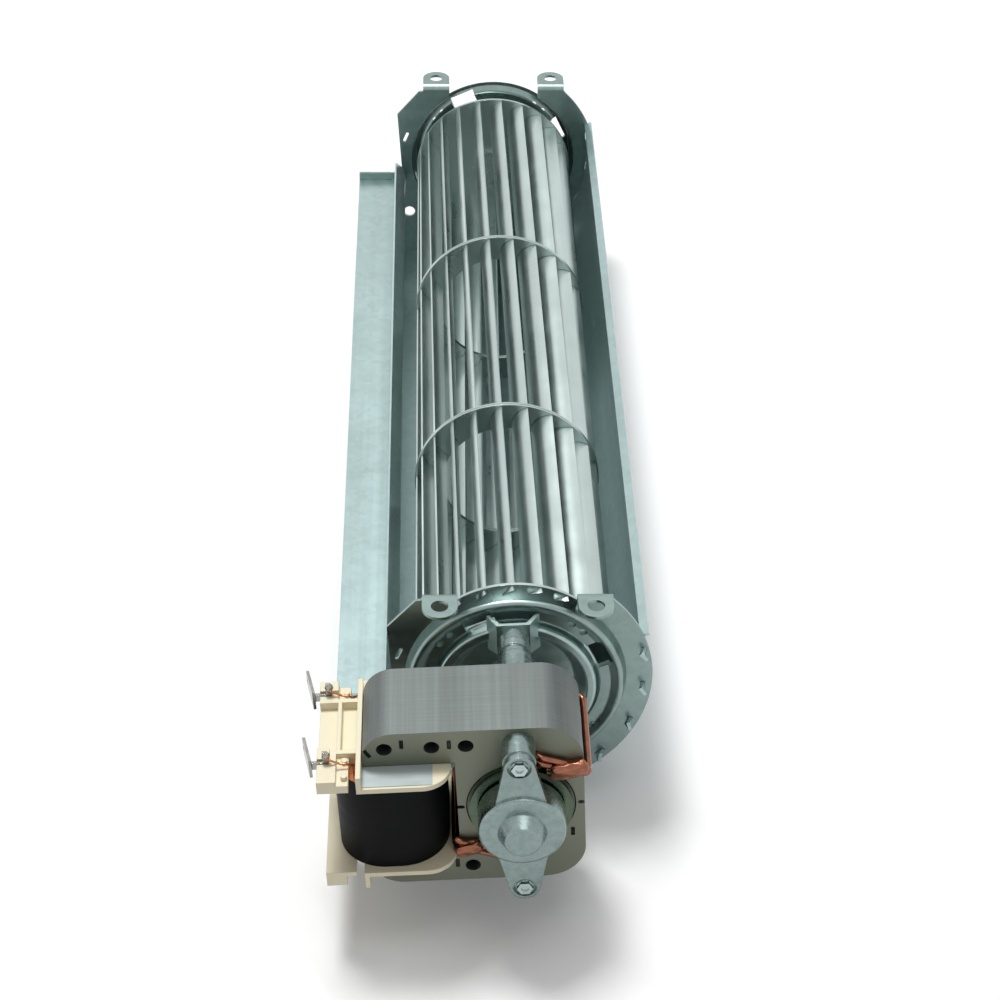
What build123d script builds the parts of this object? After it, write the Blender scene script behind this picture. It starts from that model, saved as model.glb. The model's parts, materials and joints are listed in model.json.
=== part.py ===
from build123d import *
import os
from math import atan2, cos, degrees, radians, sin

# Cross flow fan: a long bladed wheel in a sheet metal scroll casing, turned by a shaded pole motor.
# X points right and Z up as seen from the motor end, Y runs from the motor to the far end.
# The origin is the centre of the four ear holes, on the ears' top faces.
# Sketches across the wheel use the wheel's axis as their zero, with x right and y up.
# The motor is turned a little about that axis, so its sketches use turned planes.

os.makedirs("parts", exist_ok=True)

# Wheel: blades, discs and hub
wheel_d = 60.0
wheel_len = 300.0
near_gap = 5.35
far_gap = 6.65
disc_t = 1.0
middle_a = 92.0
middle_b = 196.0
middle_disc_t = 1.6
middle_bore_r = 21.0
blade_count = 22
blade_turn = 2.0
blade_skew = 9.5
blade_in_r = 22.5
blade_arc_r = 7.0
blade_arc = 70.0
blade_t = 0.5
blade_slot_gap = 0.08
blade_slot_reach = 0.8
blade_tab_at = 50.0
blade_tab_w = 4.2
blade_tab_neck = 0.15
blade_tab_twist = 22.0
blade_stub = 1.3
hub_r = 8.0
hub_len = 12.0
hub_flange_r = 11.0
hub_flange_t = 2.0
spigot_r = 5.0
stake_h = 0.8
stake_r = 6.2
hub_screw_d = 4.0
hub_screw_sunk = 0.6
hub_screw_share = 0.6
key_r = 1.0
key_deep = 2.0
stub_out = 1.0
fit_gap = 0.03

# Casing
sheet = 1.0
axis_depth = 32.0
ear_pitch_x = 44.6
ear_hole_out = 5.65
ear_hole_d = 5.0
ear_w = 10.2
ear_corner_gap = 0.05
ear_notch = 1.7
plate_r = 40.3
plate_bottom = 45.0
plate_turn = 45.0
outlet_x = 53.0
shoulder_x = 37.6
shoulder_z = 19.5
neck_x = 35.9
step_z = -6.5
wall_in = 3.2
wall_top_z = 15.2
wall_lean = 1.1
hem_w = 2.4
hem_rise = 1.1
floor_gap = 1.2
tongue_x = 34.6
tongue_z = -10.6
tongue_rise = 5.6
tongue_flare = 3.6
tongue_flare_rise = 3.2
bend_r = 1.2

# Small marks of the end plates: a slit and a round hole
slit_x = 34.3
slit_z = 9.5
slit_len = 4.4
slit_w = 1.2
slit_turn = 68.0
peep_x = 33.2
peep_z = 24.0
peep_d = 4.4

# Pressed ring of the end plates, open on its outer side between the ears
ring_r = 32.6
ring_crest_r = 31.4
ring_crest_w = 1.4
ring_h = 4.0
ring_slope = 2.0
ring_bend_r = 1.2
ring_lip = 1.2
band_h = 2.8
band_in_r = 24.8
window_w = 9.4
window_r = 26.95
window_h = 5.0
window_turn = 25.0
clinch_r = 27.4
clinch_d = 2.4
clinch_turn = 50.5
clinch_gap = 9.2

# Dish in the ring, with the bearing's rubber at the far end and two lugs at the motor end
dish_flange_r = 28.2
dish_slit = 0.95
dish_slope = 0.4
dish_crest_h = 5.2
dish_crest_w = 2.8
dish_bend_r = 1.0
dish_floor_r = 17.5
dish_floor_h = 0.8
dish_bore_r = 9.5
collar_r = 11.0
collar_len = 6.0
rubber_wall = 1.6
rubber_groove = 2.0
bearing_r = 4.5
bearing_len = 6.0
bearing_bevel = 0.4
lug_h = 9.0
lug_w = 9.6
lug_root_w = 15.2
lug_up = 5.1
lug_down = 5.6
lug_root_down = 7.2

# Tabs that hold the sheets in the end plates
tab_w = 3.2
tab_out = 2.7
tab_twist = 38.0
tab_gap = 0.15
bend_tabs = (0.28, 0.52, 0.74, 0.95)
floor_tabs = (0.18, 0.72)
wall_tab = 0.64
tongue_tab_in = 11.5

# Motor: stack of laminations
motor_turn = 3.0
motor_standoff = 26.15
stack_len = 27.0
stack_half_h = 28.2
pole_x = 17.6
coil_space_w = 7.8
window_half_h = 16.8
leg_w = 17.4
corner_left_r = 9.0
corner_right_r = 11.5
notch_in = 2.0
notch_w = 1.2
rivet_xs = (36.5, 23.6, 14.3)
rivet_z = 22.7
rivet_hole_d = 4.3
joint_w = 7.0
joint_deep = 2.4
joint_slope = 75.0
shade_turn = 75.6
shade_slot_len = 5.2
shade_slot_in = 1.0
shade_slot_w = 2.2

# Rotor and shaft
rotor_d = 29.8
air_gap = 0.3
shaft_d = 5.0
shaft_bevel = 0.4
bar_count = 17
bar_in = 0.9
bar_tall = 3.2
bar_w = 1.8
cage_ring_t = 1.8
cage_ring_in = 1.0
washer_r = 4.2
washer_gap = 0.15

# Brackets and screws
screw_z = 22.5
screw_d = 3.2
screw_hole_d = 3.8
screw_tip_out = 2.0
head_flange_d = 4.7
head_flange_t = 0.5
head_across = 4.0
head_h = 1.2
dimple_r = 1.1
dimple_deep = 0.5
seat_d = 6.5
seat_deep = 1.2
drum_r = 12.1
drum_back = 2.6
drum_front = 11.2
drum_wall = 1.6
drum_web = 2.4
drum_edge_r = 1.1
boss_front = 15.2
boss_r = 4.9
boss_base_r = 6.8
boss_edge_r = 0.6
boss_wall = 1.8
bearing_wall = 1.8
pocket_gap = 0.5
end_gap = 0.4
arm_back = 7.6
arm_t = 2.4
arm_end_r = 4.2
arm_root_w = 14.5
arm_root_out = 8.0
arm_root_h = 1.0
post_r = 4.6
post_tip_r = 4.4
post_step_share = 0.4

# Bobbin with its terminal block, in the motor's axes
flange_gap = 0.2
flange_t = 1.5
flange_reach = 22.4
flange_right_gap = 1.0
flange_corner_r = 8.0
tube_gap = 0.15
tube_t = 1.0
rib_out = 1.5
rib_t = 1.4
rib_h = 4.2
slot_out = 3.7
block_out = 12.2
block_front = 21.7
block_rear = 18.5
block_h = 2.5
bar_outer_out = 7.0
bar_inner_out = 5.9
cross_front = -8.9
cross_rear = 10.6
cross_t = 1.5
pad_h = 1.0
raised_h = 1.0
raised_gap = 0.6
raised_in = 1.8
pin_r = 0.9
pin_h = 1.2
pin_in = 1.1
pin_shifts = (1.2, -5.0)
foot_w = 5.7
foot_h = 3.4
foot_len = 6.0

# Coil, label and leads
coil_left_gap = 8.4
coil_right_gap = 2.9
coil_reach = 6.7
coil_corner_r = 13.4
tape_t = 0.5
label_w = 19.1
label_h = 8.0
label_t = 0.2
label_in = 0.8
label_gap = 0.15
lead_d = 0.6
lead_bend_r = 0.7
lead_rise = 1.6
lead_drop_in = 0.75
lead_drop_z = 0.8

# Spade terminals
neck_front = -13.8
neck_rear = 14.0
neck_z = 0.6
neck_h = 2.4
neck_gap = 0.1
tag_in = 2.1
tag_w = 1.4
tag_h = 3.6
spade_w = 6.3
spade_t = 0.8
spade_len = 11.0
spade_out = 1.3
spade_ahead = 1.3
spade_turn = 12.0
spade_bevel = 1.4
spade_hole_r = 0.9
spade_hole_in = 2.4

# Shading rings: distance of each loop's slot end from the axis, and height of its outer run
shading_wire_d = 1.9
shade_loops = ((19.35, 13.6), (17.25, 11.5))
shade_gap = 0.25
shade_corner_r = 1.8

# Worked out from the sizes above
casing_len = wheel_len + near_gap + far_gap
plate_y = casing_len / 2 + sheet
wall_x = plate_r - wall_in
wheel_r = wheel_d / 2
stack_left = pole_x + coil_space_w + leg_w
wheel_start = -casing_len / 2 + near_gap
wheel_end = wheel_start + wheel_len
stack_rear = -plate_y - motor_standoff
stack_front = stack_rear - stack_len
stack_mid = (stack_front + stack_rear) / 2
shaft_r = shaft_d / 2
wheel_axis = Axis((0, 0, -axis_depth), (0, 1, 0))


def across(y, turn=0.0):
    """Plane across the wheel's axis at y, facing the motor end, turned anticlockwise."""
    angle = radians(turn)
    return Plane(origin=(0, y, -axis_depth), x_dir=(cos(angle), 0, sin(angle)), z_dir=(0, -1, 0))


def level(z, turn=0.0):
    """Plane above the wheel's axis by z, with x and y as the part's own."""
    angle = radians(turn)
    origin = (-z * sin(angle), 0, z * cos(angle) - axis_depth)
    return Plane(origin=origin, x_dir=(cos(angle), 0, sin(angle)), z_dir=(-sin(angle), 0, cos(angle)))


def in_motor(x, y, z):
    """Point given in the motor's own turned axes, as a point of the part."""
    angle = radians(motor_turn)
    return Vector(x * cos(angle) - z * sin(angle), y, z * cos(angle) + x * sin(angle) - axis_depth)


def slab(z, height, x0, x1, y0, y1, mode=Mode.ADD):
    """Block in the motor's axes that stands on z, between two x and two y."""
    with BuildSketch(level(z, motor_turn)) as base:
        with Locations(((x0 + x1) / 2, (y0 + y1) / 2)):
            Rectangle(abs(x1 - x0), abs(y1 - y0))
    extrude(base.sketch, amount=height, mode=mode)


# Plane for turned profiles: x is the radius and y the place along the axis
profile_plane = Plane(origin=(0, 0, -axis_depth), x_dir=(1, 0, 0), z_dir=(0, 0, 1))


def save(part, name):
    part.label = name
    export_step(part, f"parts/{name}.step")


# Inner line of the scroll sheet from the outlet's floor round to the hem
floor_z = -(plate_bottom - floor_gap - sheet)
scroll_centre = wall_x + floor_z
with BuildLine() as scroll_line:
    scroll_floor = Line((-outlet_x, floor_z), (scroll_centre, floor_z))
    scroll_bend = RadiusArc(scroll_floor @ 1, (wall_x, 0), floor_z)
    scroll_wall = TangentArc(scroll_bend @ 1, (wall_x - wall_lean, wall_top_z), tangent=(0, 1))
    scroll_hem = Line(scroll_wall @ 1, scroll_wall @ 1 + Vector(hem_w, hem_rise))

# Inner line of the tongue from the outlet's edge to its flared lip
with BuildLine() as tongue_line:
    FilletPolyline(
        (-outlet_x, tongue_z),
        (-tongue_x, tongue_z),
        (-tongue_x, tongue_z + tongue_rise),
        (-tongue_x - tongue_flare, tongue_z + tongue_rise + tongue_flare_rise),
        radius=bend_r,
    )


def tab_places():
    """Middle and angle of each tab's section: scroll tabs first, the tongue's tab last."""
    spots = [(scroll_bend, share) for share in bend_tabs]
    spots += [(scroll_floor, share) for share in floor_tabs]
    spots += [(scroll_wall, wall_tab)]
    places = []
    for edge, share in spots:
        along = edge % share
        middle = edge @ share + Vector(along.Y, -along.X) * sheet / 2
        places.append((middle.X, middle.Y, degrees(atan2(along.Y, along.X))))
    places.append((-outlet_x + tongue_tab_in, tongue_z + sheet / 2, 0))
    return places


def tabs(places):
    """Tabs at the motor end: straight through the plate, then twisted outside it."""
    for x, z, angle in places:
        with BuildSketch(across(-casing_len / 2)) as root:
            with Locations(Location((x, z, 0), angle)):
                Rectangle(tab_w, sheet)
        extrude(root.sketch, amount=sheet + tab_gap)
        with BuildSketch(across(-plate_y - tab_gap)) as neck:
            with Locations(Location((x, z, 0), angle)):
                Rectangle(tab_w, sheet)
        with BuildSketch(across(-plate_y - tab_out)) as tip:
            with Locations(Location((x, z, 0), angle + tab_twist)):
                Rectangle(tab_w, sheet)
        loft([neck.sketch, tip.sketch])


# End plate on the motor side: outline, pressed ring, ears, windows and slots
ear_in = ear_pitch_x / 2 - ear_w / 2
ear_out = ear_pitch_x / 2 + ear_w / 2
ear_root_z = axis_depth - sheet - bend_r
ear_end_y = -plate_y - ear_hole_out - ear_w / 2
notch_z = ear_root_z - ear_notch / 4
right_top = Vector(plate_r, 0).rotate(Axis.Z, plate_turn)
left_bottom = (plate_r - plate_bottom, -plate_bottom)
with BuildPart() as end_plate_motor_side:
    with BuildSketch(across(-plate_y)):
        with BuildLine():
            Polyline((ear_in, 0), (ear_in, ear_root_z), (ear_out, ear_root_z), right_top)
            RadiusArc(right_top, (plate_r, 0), plate_r)
            RadiusArc((plate_r, 0), left_bottom, plate_bottom)
            Polyline(
                left_bottom,
                (-outlet_x, -plate_bottom),
                (-outlet_x, step_z),
                (-neck_x, step_z),
                (-shoulder_x, shoulder_z),
                (-ear_out - ear_notch, notch_z),
                (-ear_out - ear_notch / 4, notch_z),
                (-ear_out, ear_root_z),
                (-ear_in, ear_root_z),
                (-ear_in, 0),
                (ear_in, 0),
            )
        make_face()
        Circle(ring_r)
        Circle(ring_r - sheet / 2, mode=Mode.SUBTRACT)
    extrude(amount=-sheet)
    with BuildSketch(profile_plane):
        with BuildLine():
            FilletPolyline(
                (ring_r, -plate_y),
                (ring_crest_r, -plate_y - ring_h),
                (ring_crest_r - ring_crest_w, -plate_y - ring_h),
                (ring_crest_r - ring_crest_w - ring_slope, -plate_y - band_h),
                (band_in_r, -plate_y - band_h),
                radius=ring_bend_r,
            )
            offset(amount=sheet, side=Side.RIGHT)
        make_face()
    revolve(axis=wheel_axis)
    with BuildSketch(across(-plate_y - ring_h + ring_lip)):
        with Locations((0, ring_r)):
            Rectangle(2 * ear_in, 2 * ring_r)
        Circle(ring_crest_r - sheet, mode=Mode.SUBTRACT)
    extrude(amount=-ring_h - sheet, mode=Mode.SUBTRACT)
    for side in (-1, 1):
        with BuildSketch(Plane.YZ.offset(side * ear_pitch_x / 2)):
            with BuildLine():
                FilletPolyline(
                    (-plate_y, ear_root_z - axis_depth - sheet),
                    (-plate_y, -sheet),
                    (ear_end_y, -sheet),
                    radius=bend_r,
                )
                offset(amount=sheet, side=Side.RIGHT)
            make_face()
        extrude(amount=ear_w / 2, both=True)
    ear_ends = end_plate_motor_side.edges().filter_by(Axis.Z).group_by(Axis.Y)[0]
    fillet(ear_ends, radius=ear_w / 2 - ear_corner_gap)
    with Locations([(side * ear_pitch_x / 2, -plate_y - ear_hole_out, 0) for side in (-1, 1)]):
        Hole(ear_hole_d / 2, depth=2 * sheet)
    with BuildSketch(across(-plate_y - ring_h)):
        with PolarLocations(window_r, 4, start_angle=window_turn):
            Rectangle(window_h, window_w)
        for turn in (-clinch_gap / 2, clinch_gap / 2):
            with PolarLocations(clinch_r, 4, start_angle=clinch_turn + turn):
                Circle(clinch_d / 2)
    extrude(amount=-ring_h - sheet, mode=Mode.SUBTRACT)
    with BuildSketch(across(-plate_y)):
        for x, z, angle in tab_places():
            with Locations(Location((x, z, 0), angle)):
                Rectangle(tab_w + 2 * tab_gap, sheet + 2 * tab_gap)
        with Locations(Location((-slit_x, slit_z, 0), slit_turn)):
            SlotOverall(slit_len, slit_w)
        with Locations((-peep_x, -peep_z)):
            Circle(peep_d / 2)
    extrude(amount=-sheet, mode=Mode.SUBTRACT)
save(end_plate_motor_side.part, "end_plate_motor_side")

# End plate on the far side: the same pressing, mirrored
with BuildPart() as end_plate_far_side:
    mirror(end_plate_motor_side.part, about=Plane.XZ)
save(end_plate_far_side.part, "end_plate_far_side")

# Scroll sheet with its tabs at both ends
with BuildPart() as scroll_shell:
    with BuildSketch(across(0)):
        with BuildLine():
            add(scroll_line.line)
            offset(amount=sheet, side=Side.RIGHT)
        make_face()
    extrude(amount=casing_len / 2, both=True)
    tabs(tab_places()[:-1])
    mirror(about=Plane.XZ)
save(scroll_shell.part, "scroll_shell")

# Tongue strip with its tabs
with BuildPart() as tongue:
    with BuildSketch(across(0)):
        with BuildLine():
            add(tongue_line.line)
            offset(amount=sheet, side=Side.LEFT)
        make_face()
    extrude(amount=casing_len / 2, both=True)
    tabs(tab_places()[-1:])
    mirror(about=Plane.XZ)
save(tongue.part, "tongue")


def dish(inner_points):
    """Round pressing whose flange lies behind the plate's band and whose rim stands out through it."""
    back = -plate_y - band_h + sheet
    wall_r = band_in_r - dish_slit
    crest_r = wall_r - dish_slope
    with BuildSketch(profile_plane) as profile:
        with BuildLine():
            FilletPolyline(
                (dish_flange_r, back),
                (wall_r, back),
                (crest_r, -plate_y - dish_crest_h),
                (crest_r - dish_crest_w, -plate_y - dish_crest_h),
                (dish_floor_r, -plate_y - dish_floor_h),
                *inner_points,
                radius=dish_bend_r,
            )
            offset(amount=sheet, side=Side.RIGHT)
        make_face()
    revolve(profile.sketch, axis=wheel_axis)
    with BuildSketch(across(back)) as windows:
        with PolarLocations(window_r, 4, start_angle=window_turn):
            Rectangle(window_h, window_w)
    extrude(windows.sketch, amount=-sheet, mode=Mode.SUBTRACT)


def lug_section(y, turn, width, bottom, top):
    """Section of a lug across the axis at y, between two heights above the axis."""
    with BuildSketch(across(y, turn)) as section:
        with Locations((0, (bottom + top) / 2)):
            Rectangle(width, top - bottom)
    return section.sketch


# Dish on the motor side, with two raised lugs, open outwards, for the motor's screws
lug_y = -plate_y - lug_h
lug_root_y = -plate_y - dish_crest_h + sheet
lug_top = screw_z + lug_up
with BuildPart() as motor_mount_dish:
    dish([(dish_bore_r, -plate_y - dish_floor_h)])
    for turn in (motor_turn, motor_turn + 180):
        outer_root = lug_section(lug_root_y, turn, lug_root_w, screw_z - lug_root_down, lug_top)
        outer_tip = lug_section(lug_y, turn, lug_w, screw_z - lug_down, lug_top)
        loft([outer_root, outer_tip])
    for turn in (motor_turn, motor_turn + 180):
        inner_root = lug_section(
            lug_root_y, turn, lug_root_w - 2 * sheet, screw_z - lug_root_down + sheet, lug_top + sheet
        )
        inner_tip = lug_section(
            lug_y + sheet, turn, lug_w - 2 * sheet, screw_z - lug_down + sheet, lug_top + sheet
        )
        loft([inner_root, inner_tip], mode=Mode.SUBTRACT)
        with BuildSketch(across(lug_y, turn)):
            with Locations((0, screw_z)):
                Circle(screw_d / 2)
        extrude(amount=-sheet, mode=Mode.SUBTRACT)
save(motor_mount_dish.part, "motor_mount_dish")

# Dish on the far side, with a collar for the bearing's rubber
with BuildPart() as bearing_dish_near:
    collar_corner = -plate_y - dish_floor_h
    dish([(collar_r, collar_corner), (collar_r, collar_corner + collar_len)])
with BuildPart() as bearing_dish:
    mirror(bearing_dish_near.part, about=Plane.XZ)
save(bearing_dish.part, "bearing_dish")

# Bearing bush on the far side and the rubber ring round it
far_bearing_y = plate_y + dish_floor_h + sheet - collar_len / 2 - bearing_len / 2
with BuildPart() as far_bearing:
    with BuildSketch(across(far_bearing_y)):
        Circle(bearing_r)
        Circle(shaft_r + fit_gap, mode=Mode.SUBTRACT)
    extrude(amount=-bearing_len)
    bearing_rims = far_bearing.edges().filter_by(GeomType.CIRCLE).sort_by(SortBy.RADIUS)[-2:]
    chamfer(bearing_rims, length=bearing_bevel)
save(far_bearing.part, "far_bearing")
with BuildPart() as far_rubber_mount:
    with BuildSketch(across(far_bearing_y)):
        Circle(collar_r - sheet)
        Circle(bearing_r, mode=Mode.SUBTRACT)
    extrude(amount=-bearing_len)
    with BuildSketch(across(far_bearing_y)):
        Circle(collar_r - sheet - rubber_wall)
        Circle(bearing_r + rubber_wall, mode=Mode.SUBTRACT)
    extrude(amount=-rubber_groove, mode=Mode.SUBTRACT)
save(far_rubber_mount.part, "far_rubber_mount")


def blade_angle(step, y):
    """Angle of a blade at y: the blades run askew along the wheel."""
    return 360 / blade_count * step + blade_turn + blade_skew * (y - wheel_start) / wheel_len


def blade_outline(thickness, reach=0.0):
    """Curved blade section: radial at its inner edge, leaning clockwise towards the rim."""
    inner = blade_arc_r - thickness / 2
    outer = blade_arc_r + thickness / 2
    start = radians(-reach)
    end = radians(blade_arc + reach)
    middle = (start + end) / 2

    def spot(radius, angle):
        return (blade_in_r + radius * sin(angle), -blade_arc_r + radius * cos(angle))

    with BuildLine(mode=Mode.PRIVATE) as outline:
        ThreePointArc(spot(inner, start), spot(inner, middle), spot(inner, end))
        Line(spot(inner, end), spot(outer, end))
        ThreePointArc(spot(outer, end), spot(outer, middle), spot(outer, start))
        Line(spot(outer, start), spot(inner, start))
    return make_face(outline.edges(), mode=Mode.PRIVATE)


def blade_tab_section(step, y, gap=0.0, twist=0.0):
    """Flat section of the tab at a blade's end, with a gap round it or twisted about its middle."""
    middle = radians(blade_tab_at)
    spot = (blade_in_r + blade_arc_r * sin(middle), -blade_arc_r + blade_arc_r * cos(middle), 0)
    with BuildSketch(across(y, blade_angle(step, y))) as section:
        with Locations(Location(spot, -blade_tab_at - twist)):
            Rectangle(blade_tab_w + 2 * gap, blade_t + 2 * gap)
    return section.sketch


def blade(step):
    """One blade: a skewed strip through the middle discs, with a twisted tab through each end disc."""
    middle_places = (wheel_start + middle_a, wheel_start + middle_b)
    with BuildPart() as strip:
        sections = []
        for y in (wheel_start + disc_t, *middle_places, wheel_end - disc_t):
            with BuildSketch(across(y, blade_angle(step, y))) as section:
                add(blade_outline(blade_t))
            sections.append(section.sketch)
        loft(sections, ruled=True)
        for rim_y, out in ((wheel_start, 1), (wheel_end, -1)):
            root = blade_tab_section(step, rim_y + out * disc_t)
            extrude(root, amount=out * (disc_t + blade_tab_neck))
            neck = blade_tab_section(step, rim_y - out * blade_tab_neck)
            tip = blade_tab_section(step, rim_y - out * blade_stub, twist=blade_tab_twist)
            loft([neck, tip])
    return strip.part


# Wheel blades: all strips of the wheel
with BuildPart() as wheel_blades:
    add([blade(step) for step in range(blade_count)])
save(wheel_blades.part, "wheel_blades")

# End discs: slotted for the blades' tabs
end_disc_places = (("end_disc_motor_side", wheel_start), ("end_disc_far_side", wheel_end - disc_t))
for disc_name, disc_y in end_disc_places:
    with BuildPart() as end_disc:
        with BuildSketch(across(disc_y)):
            Circle(wheel_r)
            Circle(spigot_r, mode=Mode.SUBTRACT)
        extrude(amount=-disc_t)
        for step in range(blade_count):
            tab_slot = blade_tab_section(step, disc_y, blade_slot_gap)
            extrude(tab_slot, amount=-disc_t, mode=Mode.SUBTRACT)
    save(end_disc.part, disc_name)

# Middle discs: narrow rings slotted for the whole blades
middle_disc_places = (("middle_disc_a", wheel_start + middle_a), ("middle_disc_b", wheel_start + middle_b))
for disc_name, disc_y in middle_disc_places:
    with BuildPart() as middle_disc:
        with BuildSketch(across(disc_y)):
            Circle(wheel_r)
            Circle(middle_bore_r, mode=Mode.SUBTRACT)
            for step in range(blade_count):
                with Locations(Location((0, 0, 0), blade_angle(step, disc_y))):
                    add(blade_outline(blade_t + 2 * blade_slot_gap, blade_slot_reach), mode=Mode.SUBTRACT)
        extrude(amount=middle_disc_t / 2, both=True)
    save(middle_disc.part, disc_name)

# Hub inside the motor side disc, its spigot staked over the disc, with a hole for the set screw
hub_y = wheel_start + disc_t
screw_hole_y = hub_y + hub_len * hub_screw_share
with BuildPart() as drive_hub:
    with BuildSketch(profile_plane):
        with BuildLine():
            Polyline(
                (shaft_r, wheel_start - stake_h),
                (stake_r, wheel_start - stake_h),
                (stake_r, wheel_start),
                (spigot_r, wheel_start),
                (spigot_r, hub_y),
                (hub_flange_r, hub_y),
                (hub_flange_r, hub_y + hub_flange_t),
                (hub_r, hub_y + hub_flange_t),
                (hub_r, hub_y + hub_len),
                (shaft_r, hub_y + hub_len),
                close=True,
            )
        make_face()
    revolve(axis=wheel_axis)
    with BuildSketch(Plane(origin=(0, screw_hole_y, -axis_depth), z_dir=(0, 0, 1))):
        Circle(hub_screw_d / 2)
    extrude(amount=hub_r, mode=Mode.SUBTRACT)
save(drive_hub.part, "drive_hub")
with BuildPart() as hub_set_screw:
    with BuildSketch(Plane(origin=(0, screw_hole_y, -axis_depth + shaft_r), z_dir=(0, 0, 1))):
        Circle(hub_screw_d / 2)
    extrude(amount=hub_r - shaft_r - hub_screw_sunk)
    with BuildSketch(Plane(origin=(0, screw_hole_y, -axis_depth + hub_r - hub_screw_sunk), z_dir=(0, 0, 1))):
        RegularPolygon(key_r, 6, major_radius=False)
    extrude(amount=-key_deep, mode=Mode.SUBTRACT)
save(hub_set_screw.part, "hub_set_screw")

# Stub shaft on the far disc, staked through it
stub_end = plate_y + dish_floor_h + sheet + stub_out
with BuildPart() as far_stub_shaft:
    with BuildSketch(profile_plane):
        with BuildLine():
            Polyline(
                (0, wheel_end - disc_t - hub_flange_t),
                (hub_r, wheel_end - disc_t - hub_flange_t),
                (hub_r, wheel_end - disc_t),
                (spigot_r, wheel_end - disc_t),
                (spigot_r, wheel_end),
                (stake_r, wheel_end),
                (stake_r, wheel_end + stake_h),
                (shaft_r, wheel_end + stake_h),
                (shaft_r, stub_end - shaft_bevel),
                (shaft_r - shaft_bevel, stub_end),
                (0, stub_end),
                close=True,
            )
        make_face()
    revolve(axis=wheel_axis)
save(far_stub_shaft.part, "far_stub_shaft")

# Motor shaft from the blind bearing boss to the end of the drive hub
front_bearing_y = stack_front - drum_back - bearing_len
shaft_front = stack_front - boss_front + boss_wall
with BuildPart() as motor_shaft:
    with BuildSketch(across(shaft_front)):
        Circle(shaft_r)
    extrude(amount=-(hub_y + hub_len - shaft_front))
    chamfer(motor_shaft.edges().filter_by(GeomType.CIRCLE), length=shaft_bevel)
save(motor_shaft.part, "motor_shaft")


def cage_bars():
    """Sections of the bars near the rotor's rim."""
    with PolarLocations(rotor_d / 2 - bar_in - bar_tall / 2, bar_count):
        Rectangle(bar_tall, bar_w)


# Rotor: laminated core with a cast cage of bars and two end rings
with BuildPart() as rotor_core:
    with BuildSketch(across(stack_rear)):
        Circle(rotor_d / 2)
        Circle(shaft_r, mode=Mode.SUBTRACT)
        with BuildSketch(mode=Mode.SUBTRACT):
            cage_bars()
    extrude(amount=stack_len)
save(rotor_core.part, "rotor_core")
with BuildPart() as rotor_cage:
    with BuildSketch(across(stack_rear)):
        cage_bars()
    extrude(amount=stack_len)
    for ring_y, out in ((stack_front, cage_ring_t), (stack_rear, -cage_ring_t)):
        with BuildSketch(across(ring_y)):
            Circle(rotor_d / 2 - bar_in / 2)
            Circle(rotor_d / 2 - bar_in - bar_tall - cage_ring_in, mode=Mode.SUBTRACT)
        extrude(amount=out)
save(rotor_cage.part, "rotor_cage")


def leg_joint(side):
    """Dovetail between the coil's leg and the bar above or below it."""
    with Locations((-stack_left + leg_w / 2, side * (window_half_h + joint_deep / 2))):
        Trapezoid(joint_w, joint_deep, joint_slope, rotation=90 + side * 90)


# Stator: C-shaped stack with the pole block round the rotor's bore
bore_r = rotor_d / 2 + air_gap
with BuildPart() as stator_core:
    with BuildSketch(across(stack_rear, motor_turn)):
        with Locations(((pole_x - stack_left) / 2, 0)):
            Rectangle(pole_x + stack_left, 2 * stack_half_h)
        with Locations(((-pole_x - stack_left) / 2, 0)):
            Rectangle(stack_left - pole_x, 2 * window_half_h, mode=Mode.SUBTRACT)
        Circle(bore_r, mode=Mode.SUBTRACT)
        for turn in (shade_turn, shade_turn + 180):
            with Locations(Location((0, 0, 0), turn)):
                with Locations((bore_r + shade_slot_len / 2 - shade_slot_in, 0)):
                    SlotOverall(shade_slot_len + 2 * shade_slot_in, shade_slot_w, mode=Mode.SUBTRACT)
        for side in (-1, 1):
            with Locations((side * pole_x, 0)):
                SlotOverall(2 * notch_in, notch_w, mode=Mode.SUBTRACT)
            with Locations((0, side * screw_z)):
                Circle(screw_hole_d / 2, mode=Mode.SUBTRACT)
            with Locations([(-x, side * rivet_z) for x in rivet_xs]):
                Circle(rivet_hole_d / 2, mode=Mode.SUBTRACT)
            with BuildSketch(mode=Mode.SUBTRACT):
                leg_joint(side)
    extrude(amount=stack_len)
    for corner_x, corner_r in ((-stack_left, corner_left_r), (pole_x, corner_right_r)):
        for side in (-1, 1):
            corner = in_motor(corner_x, stack_mid, side * stack_half_h)
            fillet(stator_core.edges().filter_by(Axis.Y).sort_by_distance(corner)[:1], radius=corner_r)
save(stator_core.part, "stator_core")

# Leg of the stack inside the coil, keyed into the bars
leg_x = -stack_left + leg_w / 2
with BuildPart() as coil_core_leg:
    with BuildSketch(across(stack_rear, motor_turn)):
        with Locations((leg_x, 0)):
            Rectangle(leg_w, 2 * window_half_h)
        for side in (-1, 1):
            leg_joint(side)
    extrude(amount=stack_len)
save(coil_core_leg.part, "coil_core_leg")

# Places of the bobbin's parts across and along the motor
flange_z = window_half_h - flange_gap
flange_right = pole_x + flange_right_gap
rib_left = stack_left + rib_out
slot_left = stack_left + slot_out
block_left = stack_left + block_out
bar_left = stack_left + bar_outer_out
bar_right = stack_left + bar_inner_out
block_y0 = stack_mid - block_front
block_y1 = stack_mid + block_rear
recess_y0 = stack_mid + cross_front
recess_y1 = stack_mid + cross_rear
neck_y0 = stack_mid + neck_front
neck_y1 = stack_mid + neck_rear
tag_x = -bar_left - tag_in
tube_w = leg_w + 2 * tube_gap
tube_l = stack_len + 2 * tube_gap
end_bays = ((block_y0, recess_y0 - cross_t), (recess_y1 + cross_t, block_y1))

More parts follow.
